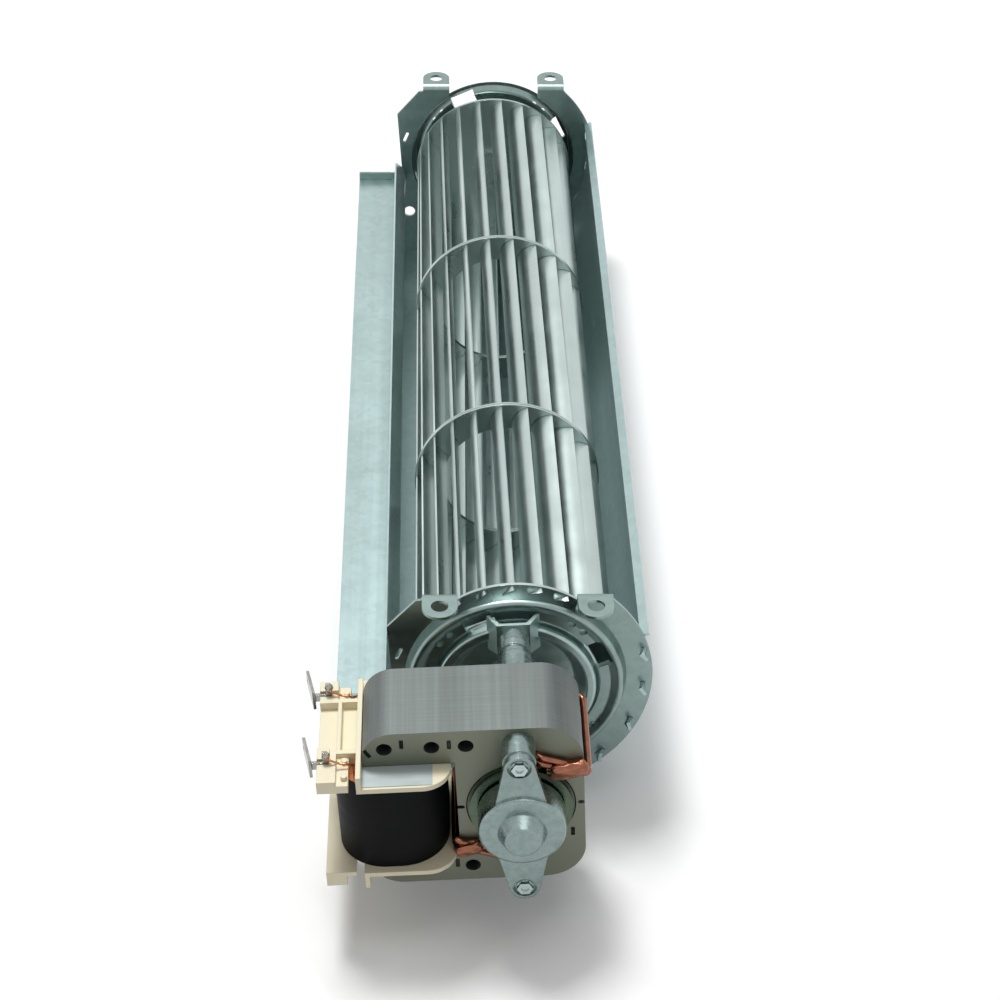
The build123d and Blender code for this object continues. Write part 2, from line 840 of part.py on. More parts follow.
# Bobbin: tube round the leg, two flanges, a rib and a terminal block beside them
with BuildPart() as bobbin:
    with BuildSketch(level(-flange_z, motor_turn)):
        with Locations((leg_x, stack_mid)):
            Rectangle(tube_w + 2 * tube_t, tube_l + 2 * tube_t)
    extrude(amount=2 * flange_z)
    for side in (-1, 1):
        with BuildSketch(level(side * flange_z, motor_turn)):
            with Locations(((-flange_right - rib_left) / 2, stack_mid)):
                plate = Rectangle(rib_left - flange_right, 2 * flange_reach)
            fillet(plate.vertices().group_by(Axis.X)[-1], radius=flange_corner_r)
        extrude(amount=-side * flange_t)
        slab(side * flange_z, -side * flange_t, -block_left, -rib_left, block_y0, block_y1)
        rib_y0 = stack_mid - flange_reach
        rib_z = side * (flange_z - flange_t)
        slab(rib_z, side * (flange_t + rib_h), -rib_left, rib_t - rib_left, rib_y0, block_y1)
        for y0, y1 in end_bays:
            slab(side * flange_z, -side * flange_t, -slot_left, -rib_left, y0, y1, Mode.SUBTRACT)
    slab(flange_z, block_h, -block_left, -bar_right, block_y0, block_y1)
    slab(flange_z, block_h, -block_left, -bar_left, recess_y0, recess_y1, Mode.SUBTRACT)
    for y in (recess_y0 - cross_t, recess_y1):
        slab(flange_z, block_h, -bar_right, -rib_left, y, y + cross_t)
    for y0, y1 in end_bays:
        slab(flange_z + pad_h, block_h, -bar_left, -bar_right, y0, y1, Mode.SUBTRACT)
        slab(flange_z, pad_h, -bar_right, -slot_left, y0, y1)
    slab(flange_z + block_h, raised_h, -block_left, -bar_left, neck_y1 + raised_gap, block_y1)
    slab(flange_z + block_h, raised_h, -block_left, -bar_left - raised_in, neck_y0 + raised_gap, recess_y0)
    for y in (neck_y0, neck_y1):
        half_slot = spade_t / 2 + neck_gap
        slot_end = tag_x + neck_gap
        slot_h = block_h + raised_h
        slab(flange_z + neck_z, slot_h, -block_left, slot_end, y - half_slot, y + half_slot, Mode.SUBTRACT)
    pins = [neck_y0 + shift for shift in pin_shifts] + [neck_y1 + pin_shifts[0]]
    with BuildSketch(level(flange_z + pad_h, motor_turn)):
        with Locations([(-bar_right + pin_in, y) for y in pins]):
            Circle(pin_r)
    extrude(amount=pin_h)
    for y in (block_y0, block_y1 - foot_len):
        slab(-flange_z, -foot_h, -block_left, foot_w - block_left, y, y + foot_len)
    with BuildSketch(level(-flange_z, motor_turn)):
        with Locations((leg_x, stack_mid)):
            Rectangle(tube_w, tube_l)
    extrude(amount=2 * flange_z, mode=Mode.SUBTRACT)
save(bobbin.part, "bobbin")

# Coil on the bobbin and the tape round it
coil_z = flange_z - flange_t
coil_x0 = -stack_left - coil_left_gap
coil_x1 = -pole_x - coil_right_gap
coil_w = coil_x1 - coil_x0
coil_l = 2 * coil_reach + stack_len
coil_middle = ((coil_x0 + coil_x1) / 2, stack_mid)
with BuildPart() as winding:
    with BuildSketch(level(-coil_z, motor_turn)):
        with Locations(coil_middle):
            RectangleRounded(coil_w - 2 * tape_t, coil_l - 2 * tape_t, coil_corner_r - tape_t)
        with Locations((leg_x, stack_mid)):
            Rectangle(tube_w + 2 * tube_t, tube_l + 2 * tube_t, mode=Mode.SUBTRACT)
    extrude(amount=2 * coil_z)
save(winding.part, "winding")
with BuildPart() as coil_tape:
    with BuildSketch(level(-coil_z, motor_turn)):
        with Locations(coil_middle):
            RectangleRounded(coil_w, coil_l, coil_corner_r)
            inner_w = coil_w - 2 * tape_t
            inner_l = coil_l - 2 * tape_t
            RectangleRounded(inner_w, inner_l, coil_corner_r - tape_t, mode=Mode.SUBTRACT)
    extrude(amount=2 * coil_z)
save(coil_tape.part, "coil_tape")

# Blank label on the bobbin's upper flange, between the rib and the flange's edge
label_x = rib_t - rib_left + label_gap
label_y = stack_mid - flange_reach + label_in
with BuildPart() as rating_label:
    slab(flange_z, label_t, label_x, label_x + label_w, label_y, label_y + label_h)
save(rating_label.part, "rating_label")


def spade(y):
    """Spade terminal: blade beside the block, neck in the block's slot and a tag for the lead."""
    blade_x = -block_left - spade_out
    half = spade_t / 2
    slab(flange_z + neck_z, neck_h, blade_x - spade_t, tag_x, y - half, y + half)
    slab(flange_z + neck_z + neck_h, tag_h, tag_x - tag_w, tag_x, y - half, y + half)
    blade_z = flange_z + neck_z + neck_h / 2 - spade_w / 2
    turned = radians(spade_turn)
    tilt = radians(motor_turn)
    along = (-sin(turned) * cos(tilt), cos(turned), -sin(turned) * sin(tilt))
    outward = (-cos(turned) * cos(tilt), -sin(turned), -cos(turned) * sin(tilt))
    blade_start = in_motor(blade_x, y - spade_ahead, blade_z)
    with BuildSketch(Plane(origin=blade_start, x_dir=along, z_dir=outward)) as flat:
        with Locations((spade_len / 2, -spade_w / 2)):
            outline = Rectangle(spade_len, spade_w)
        chamfer(outline.vertices().group_by(Axis.X)[-1], length=spade_bevel)
        with Locations((spade_len - spade_hole_in, -spade_w / 2)):
            Circle(spade_hole_r, mode=Mode.SUBTRACT)
    extrude(flat.sketch, amount=spade_t)


for side_name, neck_y in (("front", neck_y0), ("rear", neck_y1)):
    with BuildPart() as terminal:
        spade(neck_y)
    save(terminal.part, f"spade_terminal_{side_name}")

# Leads from the tags over the pads down to the coil
lead_top = flange_z + pad_h + lead_rise
lead_spots = (
    (tag_x - tag_w / 2, flange_z + neck_z + neck_h + tag_h / 2),
    (-bar_right, lead_top),
    (-slot_left - lead_d, lead_top),
    (-rib_left - lead_drop_in, flange_z + lead_drop_z),
    (-rib_left - lead_drop_in, coil_z),
)
for side_name, neck_y in (("front", neck_y0), ("rear", neck_y1)):
    lead_y = neck_y - spade_t / 2 - lead_d / 2
    with BuildPart() as lead:
        with BuildLine() as lead_line:
            FilletPolyline(*[in_motor(x, lead_y, z) for x, z in lead_spots], radius=lead_bend_r)
        with BuildSketch(Plane(origin=lead_line.wire() @ 0, z_dir=lead_line.wire() % 0)):
            Circle(lead_d / 2)
        sweep(path=lead_line.wire())
    save(lead.part, f"winding_lead_{side_name}")

# Shading rings: two closed loops of wire through each slot of the pole
shade_out = pole_x + shade_gap + shading_wire_d / 2
shade_half_y = stack_len / 2 + shade_gap + shading_wire_d / 2
for ring_name, side in (("shading_ring_upper", 1), ("shading_ring_lower", -1)):
    with BuildPart() as shading_ring:
        for slot_r, out_z in shade_loops:
            in_x = slot_r * cos(radians(shade_turn))
            in_z = slot_r * sin(radians(shade_turn))
            with BuildLine() as loop_line:
                FilletPolyline(
                    in_motor(side * in_x, stack_mid - shade_half_y, side * in_z),
                    in_motor(side * in_x, stack_mid + shade_half_y, side * in_z),
                    in_motor(side * shade_out, stack_mid + shade_half_y, side * out_z),
                    in_motor(side * shade_out, stack_mid - shade_half_y, side * out_z),
                    radius=shade_corner_r,
                    close=True,
                )
            loop_wire = loop_line.wire()
            with BuildSketch(Plane(origin=loop_wire @ 0, z_dir=loop_wire % 0)) as wire_end:
                Circle(shading_wire_d / 2)
            sweep(wire_end.sketch, path=loop_wire)
    save(shading_ring.part, ring_name)

# Bracket casting: drum with the bearing's boss, two arms and a post behind each
drum_y = stack_front - drum_front
web_y = drum_y + drum_web
arm_y = stack_front - arm_back - arm_t
with BuildPart() as bracket_casting:
    with BuildSketch(profile_plane):
        with BuildLine():
            Polyline(
                (0, stack_front - boss_front),
                (boss_r, stack_front - boss_front),
                (boss_base_r, drum_y),
                (drum_r, drum_y),
                (drum_r, stack_front - drum_back),
                (drum_r - drum_wall, stack_front - drum_back),
                (drum_r - drum_wall, web_y),
                (bearing_r + bearing_wall, web_y),
                (bearing_r + bearing_wall, stack_front - drum_back),
                (bearing_r, stack_front - drum_back),
                (bearing_r, front_bearing_y),
                (shaft_r + pocket_gap, front_bearing_y),
                (shaft_r + pocket_gap, shaft_front - end_gap),
                (0, shaft_front - end_gap),
                close=True,
            )
        make_face()
    revolve(axis=wheel_axis)
    rims = bracket_casting.edges().filter_by(GeomType.CIRCLE)
    fillet(rims.sort_by(SortBy.RADIUS)[-2:].sort_by(Axis.Y)[:1], radius=drum_edge_r)
    rims = bracket_casting.edges().filter_by(GeomType.CIRCLE)
    fillet(rims.sort_by(Axis.Y)[:1], radius=boss_edge_r)
    for turn in (motor_turn, motor_turn + 180):
        with BuildSketch(across(stack_front - arm_back, turn)):
            with Locations((0, screw_z)):
                Circle(arm_end_r)
            with Locations((0, arm_root_out)):
                Rectangle(arm_root_w, arm_root_h)
            make_hull()
            Circle(drum_r - drum_wall / 2, mode=Mode.SUBTRACT)
        extrude(amount=arm_t)
        with BuildSketch(across(stack_front, turn)):
            with Locations((0, screw_z)):
                Circle(post_r)
        extrude(amount=arm_back)
        with BuildSketch(across(stack_front, turn)):
            with Locations((0, screw_z)):
                Circle(screw_hole_d / 2)
        extrude(amount=arm_back + arm_t, mode=Mode.SUBTRACT)

# Front bracket: the casting with a round seat for each screw's head
with BuildPart() as front_bracket:
    add(bracket_casting.part)
    for turn in (motor_turn, motor_turn + 180):
        with BuildSketch(across(arm_y, turn)):
            with Locations((0, screw_z)):
                Circle(seat_d / 2)
        extrude(amount=-seat_deep, mode=Mode.SUBTRACT)
save(front_bracket.part, "front_bracket")

# Rear bracket: the same casting mirrored, bored through, with posts on to the dish's lugs
arm_rear_y = stack_rear + arm_back + arm_t
post_step_y = arm_rear_y + (lug_y - arm_rear_y) * post_step_share
with BuildPart() as rear_bracket:
    mirror(bracket_casting.part, about=Plane.XZ.offset(-stack_mid))
    with BuildSketch(across(stack_rear)):
        Circle(shaft_r + pocket_gap)
    extrude(amount=-boss_front, mode=Mode.SUBTRACT)
    for turn in (motor_turn, motor_turn + 180):
        post_steps = ((arm_rear_y, post_step_y, post_r), (post_step_y, lug_y, post_tip_r))
        for start_y, end_y, outer_r in post_steps:
            with BuildSketch(across(start_y, turn)):
                with Locations((0, screw_z)):
                    Circle(outer_r)
                    Circle(screw_hole_d / 2, mode=Mode.SUBTRACT)
            extrude(amount=start_y - end_y)
save(rear_bracket.part, "rear_bracket")

# Bearing bushes in the brackets
with BuildPart() as front_bearing:
    with BuildSketch(across(stack_front - drum_back)):
        Circle(bearing_r)
        Circle(shaft_r + fit_gap, mode=Mode.SUBTRACT)
    extrude(amount=bearing_len)
save(front_bearing.part, "front_bearing")
with BuildPart() as rear_bearing:
    mirror(front_bearing.part, about=Plane.XZ.offset(-stack_mid))
save(rear_bearing.part, "rear_bearing")

# Spacers on the shaft between rotor and bearings
with BuildPart() as shaft_spacers:
    for spacer_y, out in ((stack_front, 1), (stack_rear, -1)):
        with BuildSketch(across(spacer_y)):
            Circle(washer_r)
            Circle(shaft_r, mode=Mode.SUBTRACT)
        extrude(amount=out * (drum_back - washer_gap))
save(shaft_spacers.part, "shaft_spacers")

# Two long screws through brackets, stack and lugs, their dimpled heads in the front seats
seat_y = arm_y + seat_deep
with BuildPart() as motor_screws:
    for turn in (motor_turn, motor_turn + 180):
        with BuildSketch(across(seat_y, turn)):
            with Locations((0, screw_z)):
                Circle(head_flange_d / 2)
        extrude(amount=head_flange_t)
        with BuildSketch(across(seat_y - head_flange_t, turn)):
            with Locations((0, screw_z)):
                RegularPolygon(head_across / 2, 6, major_radius=False)
        extrude(amount=head_h)
        with BuildSketch(across(seat_y - head_flange_t - head_h, turn)):
            with Locations((0, screw_z)):
                Circle(dimple_r)
        extrude(amount=-dimple_deep, mode=Mode.SUBTRACT)
        with BuildSketch(across(seat_y, turn)):
            with Locations((0, screw_z)):
                Circle(screw_d / 2)
        extrude(amount=seat_y - lug_y - sheet - screw_tip_out)
save(motor_screws.part, "motor_screws")
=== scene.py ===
import json
from math import cos, radians, sin

import bpy
from mathutils import Matrix, Vector


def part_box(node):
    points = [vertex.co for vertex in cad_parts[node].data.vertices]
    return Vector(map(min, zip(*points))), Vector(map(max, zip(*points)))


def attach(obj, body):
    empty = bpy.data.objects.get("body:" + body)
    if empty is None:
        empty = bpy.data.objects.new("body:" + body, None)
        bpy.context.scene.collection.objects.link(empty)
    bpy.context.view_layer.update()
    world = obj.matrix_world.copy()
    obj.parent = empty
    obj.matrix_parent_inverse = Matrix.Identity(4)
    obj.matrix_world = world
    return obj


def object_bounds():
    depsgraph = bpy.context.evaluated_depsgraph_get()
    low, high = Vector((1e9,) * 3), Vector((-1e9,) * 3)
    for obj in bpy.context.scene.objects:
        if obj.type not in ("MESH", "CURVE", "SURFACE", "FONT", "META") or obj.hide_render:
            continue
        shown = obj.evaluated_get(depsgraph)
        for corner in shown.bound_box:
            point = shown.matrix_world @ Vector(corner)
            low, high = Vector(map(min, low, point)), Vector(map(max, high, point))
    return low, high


# Cross flow fan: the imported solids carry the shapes. This scene gives them their finishes, adds
# the motor's crimps, solder and punch marks, and sets the floor, the lamps and the camera.
# Lengths are in metres, in the part's own frame: the motor is at -Y, Z is up.

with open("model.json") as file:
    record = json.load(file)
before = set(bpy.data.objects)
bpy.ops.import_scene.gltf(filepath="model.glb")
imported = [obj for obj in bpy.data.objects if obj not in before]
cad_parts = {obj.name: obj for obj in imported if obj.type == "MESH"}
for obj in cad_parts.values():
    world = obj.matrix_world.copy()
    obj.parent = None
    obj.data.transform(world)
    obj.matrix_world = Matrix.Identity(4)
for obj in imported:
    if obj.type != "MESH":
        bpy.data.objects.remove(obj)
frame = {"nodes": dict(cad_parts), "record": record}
cad_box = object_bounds()
record = frame["record"]

# Place of the motor: its turn about the wheel's axis in degrees, and the axis below the ears
MOTOR_TURN = 3.0
AXIS_DEPTH = 0.032

# Edge radii that only the light sees, and the width and strength of the painted shade in the seam
# of the middle discs
SHEET_EDGE = 0.00015
CAST_EDGE = 0.0004
MOULDED_EDGE = 0.0003
EDGE_SAMPLES = 3
SEAM_HALF_WIDTH = 0.00022
SEAM_PAINTED_SHADE = 0.25

# How finely marks are drawn along X, Y and Z: lengthwise on sheet and blades, on a pressed
# plate, on the stack's cut edges and on the coil's tape
ALONG_Y = (420.0, 6.0, 420.0)
ON_PLATE = (9.0, 300.0, 380.0)
PUNCH_STREAKS = (900.0, 14.0, 900.0)
PUNCH_BANDS = (95.0, 6.0, 95.0)
SHEET_LINES = (30.0, 2400.0, 30.0)
TAPE_TURNS = (12.0, 12.0, 900.0)

# Zinc crystals: how finely and how far their outlines are bent
CRYSTAL_BEND_SCALE = 180
CRYSTAL_BEND = (0.004, 0.004, 0.004)

# Stack: a surface belongs to its cut edges where the normal leans less than this along Y
STACK_EDGE_LEAN = 0.5

# Crimps in the motor's axes: how far their middles stand out from the stack, and for each
# its name, place across, size, turn in degrees and seed
CRIMP_OUT = 0.0015
CRIMPS = (
    ("crimp_upper", 0.0130, 0.0140, (0.0104, 0.0034, 0.0048), 10.0, 5),
    ("crimp_lower", -0.0152, -0.0142, (0.0074, 0.0030, 0.0040), 12.0, 9),
)

# Solder: its size, how far its middle lies in from the tag's box, and name, tag and seed
SOLDER_SIZE = (0.0019, 0.0017, 0.0022)
SOLDER_IN_X, SOLDER_IN_Y, SOLDER_IN_Z = 0.0007, 0.0016, 0.0017
SOLDERS = (
    ("solder_front", "spade_terminal_front", 3),
    ("solder_rear", "spade_terminal_rear", 8),
)

# Punch marks in the motor's axes: the size of one, then each one's place across and turn
MARK_W, MARK_H = 0.0011, 0.0030
MARK_RISE = 0.00016
MARK_RIM = 0.00022
MARK_SUNK = 0.00022
MARK_ROUND = 0.00005
PUNCH_MARKS = (
    (-0.0188, 0.0235, 0.0),
    (-0.0317, 0.0243, 0.0),
    (-0.0412, 0.0215, 30.0),
    (-0.0186, -0.0216, 0.0),
    (0.0141, -0.0111, 0.0),
)

# Studio: the floor, the distances and strengths between which it is seen to turn white, the
# room's light on the fan, and the lamps' name, place, side and watts
WHITE = (1, 1, 1, 1)
FLOOR_SIZE = 8.0
FLOOR_COLOUR = (0.90, 0.90, 0.90, 1)
FLOOR_WHITENING = {"From_Min": 0.30, "From_Max": 0.90, "To_Min": 0.10, "To_Max": 1.0}
ROOM_LIGHT = 0.25
LAMPS = (
    ("key_softbox", (-0.26, 0.30, 1.45), 0.4, 18.0),
    ("overhead_softbox", (0.10, -0.15, 1.50), 0.9, 5.0),
)

# Camera fitted to the photograph: place, turns in radians, lens and sensor in millimetres
CAMERA_PLACE = (-0.02371, -0.69547, 0.43760)
CAMERA_HEADING = radians(1.942)
CAMERA_PITCH = radians(36.88)
CAMERA_ROLL = 0.0165
CAMERA_LENS = 87.3
CAMERA_SENSOR = 36.0
CAMERA_NEAR = 0.05


# Node helpers


def give(tree, socket, value):
    """Links a socket to another one, or sets it to a plain value."""
    if hasattr(value, "links"):
        tree.links.new(value, socket)
    else:
        socket.default_value = value


def set_inputs(tree, made, **values):
    """Gives a node's sockets their values by name, with _ for a space."""
    for label, value in values.items():
        give(tree, made.inputs[label.replace("_", " ")], value)
    return made


def node(tree, kind, **settings):
    made = tree.nodes.new(kind)
    for key, value in settings.items():
        setattr(made, key, value)
    return made


def math_node(tree, operation, *values, clamp=False):
    made = node(tree, "ShaderNodeMath", operation=operation, use_clamp=clamp)
    for socket, value in zip(made.inputs, values):
        give(tree, socket, value)
    return made.outputs[0]


def scaled(tree, colour, factor):
    tint = node(tree, "ShaderNodeVectorMath", operation="SCALE")
    give(tree, tint.inputs[0], colour)
    give(tree, tint.inputs["Scale"], factor)
    return tint.outputs[0]


def object_place(tree):
    return node(tree, "ShaderNodeTexCoord").outputs["Object"]


# Shared effects

COLOUR, NUMBER, VECTOR = "NodeSocketColor", "NodeSocketFloat", "NodeSocketVector"
MID_GREY = (0.5, 0.5, 0.5, 1)


def new_group(name, inputs, outputs):
    """Empty shader group: inputs are (name, kind, default) and outputs are (name, kind)."""
    group = bpy.data.node_groups.new(name, "ShaderNodeTree")
    for label, kind, default in inputs:
        socket = group.interface.new_socket(label, in_out="INPUT", socket_type=kind)
        socket.default_value = default
    for label, kind in outputs:
        group.interface.new_socket(label, in_out="OUTPUT", socket_type=kind)
    return group, group.nodes.new("NodeGroupInput"), group.nodes.new("NodeGroupOutput")


def new_surface_group(name, own_input, roughness):
    """Group that varies a colour and a gloss, with one input of its own."""
    return new_group(
        name,
        [
            ("Colour", COLOUR, MID_GREY),
            own_input,
            ("Tone", NUMBER, 0.1),
            ("Roughness", NUMBER, roughness),
            ("Gloss change", NUMBER, 0.1),
        ],
        [("Colour", COLOUR), ("Roughness", NUMBER), ("Height", NUMBER)],
    )


def vary_colour(group, inputs, outputs, noise):
    """Puts out the colour, lighter and darker with a noise. Returns the noise about zero."""
    centred = math_node(group, "SUBTRACT", noise, 0.5)
    tone = math_node(group, "MULTIPLY", centred, inputs.outputs["Tone"])
    lift = math_node(group, "ADD", math_node(group, "MULTIPLY", tone, 2.0), 1.0)
    give(group, outputs.inputs["Colour"], scaled(group, inputs.outputs["Colour"], lift))
    return centred


def vary_surface(group, inputs, outputs, noise):
    """Puts out the colour and the roughness, both varied by a noise, and the noise as height."""
    centred = vary_colour(group, inputs, outputs, noise)
    shift = math_node(group, "MULTIPLY", centred, inputs.outputs["Gloss change"])
    doubled = math_node(group, "MULTIPLY", shift, 2.0)
    gloss = math_node(group, "ADD", inputs.outputs["Roughness"], doubled, clamp=True)
    set_inputs(group, outputs, Roughness=gloss, Height=noise)
    return group


def make_mottle_group():
    """Slow cloudy change of tone and gloss, as on handled and stored metal or plastic."""
    group, inputs, outputs = new_surface_group("mottle", ("Scale", NUMBER, 40.0), 0.4)
    cloud = node(group, "ShaderNodeTexNoise")
    set_inputs(
        group, cloud, Vector=object_place(group), Scale=inputs.outputs["Scale"],
        Detail=5, Roughness=0.6,
    )
    return vary_surface(group, inputs, outputs, cloud.outputs["Fac"])


def make_grain_group():
    """Fine lines drawn out along one axis: rolling, drawing and brushing marks."""
    stretch = ("Stretch", VECTOR, (600.0, 8.0, 600.0))
    group, inputs, outputs = new_surface_group("drawn_grain", stretch, 0.35)
    drawn = node(group, "ShaderNodeVectorMath", operation="MULTIPLY")
    give(group, drawn.inputs[0], object_place(group))
    give(group, drawn.inputs[1], inputs.outputs["Stretch"])
    lines = node(group, "ShaderNodeTexNoise")
    set_inputs(group, lines, Vector=drawn.outputs[0], Scale=1, Detail=3)
    return vary_surface(group, inputs, outputs, lines.outputs["Fac"])


def make_spangle_group():
    """Zinc crystals of a hot-dip coat: flat cells, each a little lighter or darker."""
    group, inputs, outputs = new_group(
        "zinc_spangle",
        [("Colour", COLOUR, MID_GREY), ("Scale", NUMBER, 260.0), ("Tone", NUMBER, 0.08)],
        [("Colour", COLOUR)],
    )
    place = object_place(group)
    warp = node(group, "ShaderNodeTexNoise")
    set_inputs(group, warp, Vector=place, Scale=CRYSTAL_BEND_SCALE)
    bent = node(group, "ShaderNodeVectorMath", operation="MULTIPLY_ADD")
    for socket, value in zip(bent.inputs, (warp.outputs["Color"], CRYSTAL_BEND, place)):
        give(group, socket, value)
    cells = node(group, "ShaderNodeTexVoronoi", feature="F1")
    set_inputs(group, cells, Vector=bent.outputs[0], Scale=inputs.outputs["Scale"])
    split = node(group, "ShaderNodeSeparateColor")
    give(group, split.inputs[0], cells.outputs["Color"])
    vary_colour(group, inputs, outputs, split.outputs[0])
    return group


mottle = make_mottle_group()
drawn_grain = make_grain_group()
zinc_spangle = make_spangle_group()


# Finishes


def new_finish(name, metallic, **sockets):
    """Material with one Principled shader, with what is the same all over on its sockets."""
    finish = bpy.data.materials.new(name)
    finish.use_nodes = True
    tree = finish.node_tree
    shader = tree.nodes["Principled BSDF"]
    set_inputs(tree, shader, Metallic=metallic, **sockets)
    return finish, tree, shader


def use_group(tree, group, **values):
    return set_inputs(tree, node(tree, "ShaderNodeGroup", node_tree=group), **values)


def results(effect, colour_name="Colour"):
    """Colour and roughness of one effect, as the next one or the shader takes them."""
    return {colour_name: effect.outputs["Colour"], "Roughness": effect.outputs["Roughness"]}


def add_bump(tree, shader, height, strength, distance, edge_round=0.0):
    """Bump from a height, over edges that are rounded for the light by edge_round metres."""
    bump = node(tree, "ShaderNodeBump")
    set_inputs(tree, bump, Height=height, Strength=strength, Distance=distance)
    if edge_round:
        rounded = node(tree, "ShaderNodeBevel", samples=EDGE_SAMPLES)
        set_inputs(tree, rounded, Radius=edge_round)
        give(tree, bump.inputs["Normal"], rounded.outputs["Normal"])
    give(tree, shader.inputs["Normal"], bump.outputs["Normal"])


def galvanised(name, colour, roughness, stretch):
    """Zinc-coated sheet: faint crystals, drawn lines and cloudy patches."""
    finish, tree, shader = new_finish(name, metallic=0.95)
    spangle = use_group(tree, zinc_spangle, Colour=colour, Scale=420.0, Tone=0.05)
    clouds = use_group(
        tree, mottle, Colour=spangle.outputs["Colour"], Roughness=roughness,
        Scale=34.0, Tone=0.10, Gloss_change=0.10,
    )
    lines = use_group(
        tree, drawn_grain, **results(clouds), Stretch=stretch, Tone=0.06, Gloss_change=0.08
    )
    set_inputs(tree, shader, **results(lines, "Base_Color"))
    height = clouds.outputs["Height"]
    add_bump(tree, shader, height, strength=0.2, distance=0.0004, edge_round=SHEET_EDGE)
    return finish


def plain_metal(
    name, colour, roughness, scale, tone,
    metallic=1.0, bump=0.1, stretch=None, edge_round=0.0, **sockets,
):
    """Metal with a cloudy tone, and with drawn lines too where a stretch is given."""
    finish, tree, shader = new_finish(name, metallic, **sockets)
    last = use_group(
        tree, mottle, Colour=colour, Scale=scale, Tone=tone, Roughness=roughness,
        Gloss_change=0.15,
    )
    if stretch:
        last = use_group(
            tree, drawn_grain, **results(last), Stretch=stretch, Tone=tone, Gloss_change=0.12
        )
    set_inputs(tree, shader, **results(last, "Base_Color"))
    height = last.outputs["Height"]
    add_bump(tree, shader, height, strength=bump, distance=0.0002, edge_round=edge_round)
    return finish


def disc_metal(name, colour, roughness, seams):
    """Disc sheet, its rim parted by painted shade in the seam where two rings lie back to back.
    """
    finish, tree, shader = new_finish(name, metallic=1.0)
    split = node(tree, "ShaderNodeSeparateXYZ")
    give(tree, split.inputs[0], object_place(tree))
    clouds = use_group(
        tree, mottle, Colour=colour, Scale=90.0, Tone=0.12, Roughness=roughness,
        Gloss_change=0.15,
    )
    # Painted shade: the colour darkens at each seam's middle plane, where the two rings meet
    open_share = None
    for seam_y in seams:
        off = math_node(tree, "ABSOLUTE", math_node(tree, "SUBTRACT", split.outputs["Y"], seam_y))
        clear = math_node(tree, "DIVIDE", off, SEAM_HALF_WIDTH, clamp=True)
        if open_share is None:
            open_share = clear
        else:
            open_share = math_node(tree, "MULTIPLY", open_share, clear)
    shade = math_node(tree, "MULTIPLY_ADD", open_share, 1 - SEAM_PAINTED_SHADE, SEAM_PAINTED_SHADE)
    set_inputs(
        tree, shader, Base_Color=scaled(tree, clouds.outputs["Colour"], shade),
        Roughness=clouds.outputs["Roughness"],
    )
    height = clouds.outputs["Height"]
    add_bump(tree, shader, height, strength=0.1, distance=0.0002, edge_round=SHEET_EDGE)
    return finish


def plain_plastic(name, colour, roughness, scale, tone, edge_round=0.0, **sockets):
    """Plastic or rubber with a faint cloudy tone."""
    finish, tree, shader = new_finish(name, metallic=0.0, **sockets)
    clouds = use_group(
        tree, mottle, Colour=colour, Scale=scale, Tone=tone, Roughness=roughness,
        Gloss_change=0.1,
    )
    set_inputs(tree, shader, **results(clouds, "Base_Color"))
    height = clouds.outputs["Height"]
    add_bump(tree, shader, height, strength=0.05, distance=0.0001, edge_round=edge_round)
    return finish


def laminations(name, face_colour, edge_colour):
    """Stack of punched sheets: dull faces, and cut edges with streaks and faint sheet lines."""
    finish, tree, shader = new_finish(name, metallic=0.9)
    normal = node(tree, "ShaderNodeSeparateXYZ")
    give(tree, normal.inputs[0], node(tree, "ShaderNodeNewGeometry").outputs["Normal"])
    lean = math_node(tree, "ABSOLUTE", normal.outputs["Y"])
    edge = math_node(tree, "LESS_THAN", lean, STACK_EDGE_LEAN)
    colour = edge_colour
    for stretch, tone in ((PUNCH_STREAKS, 0.22), (PUNCH_BANDS, 0.26), (SHEET_LINES, 0.16)):
        sheets = use_group(tree, drawn_grain, Colour=colour, Stretch=stretch, Tone=tone)
        colour = sheets.outputs["Colour"]
    face = use_group(
        tree, mottle, Colour=face_colour, Scale=70.0, Tone=0.08, Roughness=0.5, Gloss_change=0.1
    )
    blend = node(tree, "ShaderNodeMix", data_type="RGBA")
    give(tree, blend.inputs["Factor"], edge)
    give(tree, blend.inputs["A"], face.outputs["Colour"])
    give(tree, blend.inputs["B"], colour)
    set_inputs(
        tree, shader, Base_Color=blend.outputs["Result"], Roughness=face.outputs["Roughness"]
    )
    height = math_node(tree, "MULTIPLY", sheets.outputs["Height"], edge)
    add_bump(tree, shader, height, strength=0.12, distance=0.0001, edge_round=SHEET_EDGE)
    return finish


def taped_coil(name):
    """Black tape: near black, smooth, with the faint lie of its turns."""
    finish, tree, shader = new_finish(name, metallic=0.0, Specular_IOR_Level=0.09)
    clouds = use_group(
        tree, mottle, Colour=(0.003, 0.004, 0.0036, 1), Scale=70.0, Tone=0.2, Roughness=0.56,
        Gloss_change=0.16,
    )
    turns = use_group(
        tree, drawn_grain, **results(clouds), Stretch=TAPE_TURNS, Tone=0.2, Gloss_change=0.08
    )
    set_inputs(tree, shader, **results(turns, "Base_Color"))
    add_bump(tree, shader, turns.outputs["Height"], strength=0.2, distance=0.0002)
    return finish


def seam_place(name):
    """Middle of a disc along the wheel."""
    low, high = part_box(name)
    return (low.y + high.y) / 2


